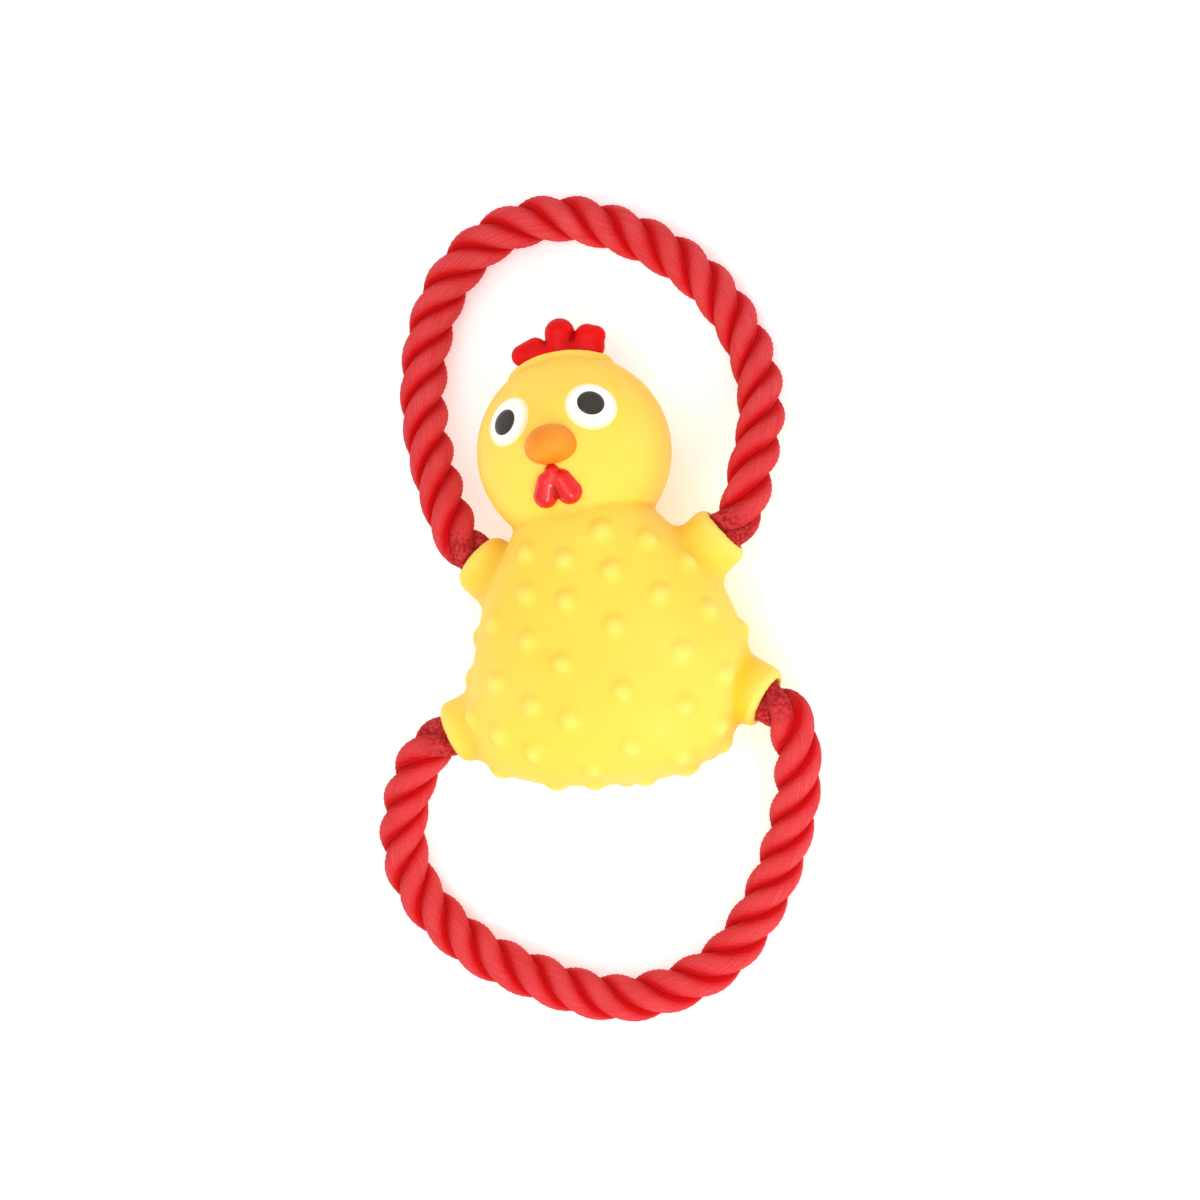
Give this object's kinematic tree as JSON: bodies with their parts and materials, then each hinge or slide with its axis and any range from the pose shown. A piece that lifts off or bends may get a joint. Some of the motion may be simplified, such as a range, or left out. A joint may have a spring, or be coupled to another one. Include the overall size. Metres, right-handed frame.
{
  "type": "rope and latex squeaky dog toy chicken",
  "caption": "Soft latex chick toy with a nubbed belly and twisted rope loops through its arm and leg sleeves, lying on its back.",
  "frame": {"origin": "centre of the flat outer face of the round patch on the toy's back, where it rests", "axes": "+Z out of the belly and face, +Y towards the head, +X to the right of a viewer who faces the belly with the head up"},
  "size_m": [0.1588, 0.2869, 0.0767],
  "materials": {
    "latex": "satin",
    "fibrefill": "matt",
    "comb_red": "gloss",
    "wattle_red": "gloss",
    "beak_orange": "satin",
    "eye_white": "satin",
    "pupil_black": "satin",
    "rope": "matt",
    "whipping_thread": "matt",
    "glue": "satin",
    "squeaker_plastic": "matt"
  },
  "bodies": {
    "torso": {"torso_skin": "latex", "torso_stuffing": "fibrefill", "arm_rope_inner": "rope", "leg_rope_inner": "rope", "arm_rope_whipping": "whipping_thread", "leg_rope_whipping": "whipping_thread", "left_arm_glue": "glue", "right_arm_glue": "glue", "left_leg_glue": "glue", "right_leg_glue": "glue", "back_patch": "latex", "squeaker_reed_holder": "squeaker_plastic", "squeaker_reed": "squeaker_plastic", "squeaker_bellows": "squeaker_plastic"},
    "head": {"head_skin": "latex", "head_stuffing": "fibrefill", "comb": "comb_red", "wattle": "wattle_red", "beak": "beak_orange", "left_eye_white": "eye_white", "right_eye_white": "eye_white", "left_pupil": "pupil_black", "right_pupil": "pupil_black"},
    "upper_loop": {"upper_rope_loop": "rope"},
    "lower_loop": {"lower_rope_loop": "rope"},
    "squeaker": {"squeaker_end_cap": "squeaker_plastic"}
  },
  "joints": [
    {"name": "head_turn", "type": "hinge", "parent": "torso", "child": "head", "pos_m": [-0.00525, 0.04942, 0.0335], "axis": [-0.1045, 0.9945, 0], "range_deg": [-30, 30], "stiffness_Nm_per_rad": 0.3},
    {"name": "upper_loop_swing", "type": "hinge", "parent": "torso", "child": "upper_loop", "pos_m": [0, 0.046, 0.028], "axis": [1, 0, 0], "range_deg": [0, 75], "stiffness_Nm_per_rad": 0.08},
    {"name": "lower_loop_swing", "type": "hinge", "parent": "torso", "child": "lower_loop", "pos_m": [0, -0.023, 0.028], "axis": [-1, 0, 0], "range_deg": [0, 75], "stiffness_Nm_per_rad": 0.08},
    {"name": "squeaker_press", "type": "slide", "parent": "torso", "child": "squeaker", "axis": [0, 0, -1], "range_m": [0, 0.005], "stiffness_N_per_m": 200, "deforming": ["squeaker_bellows"]}
  ]
}
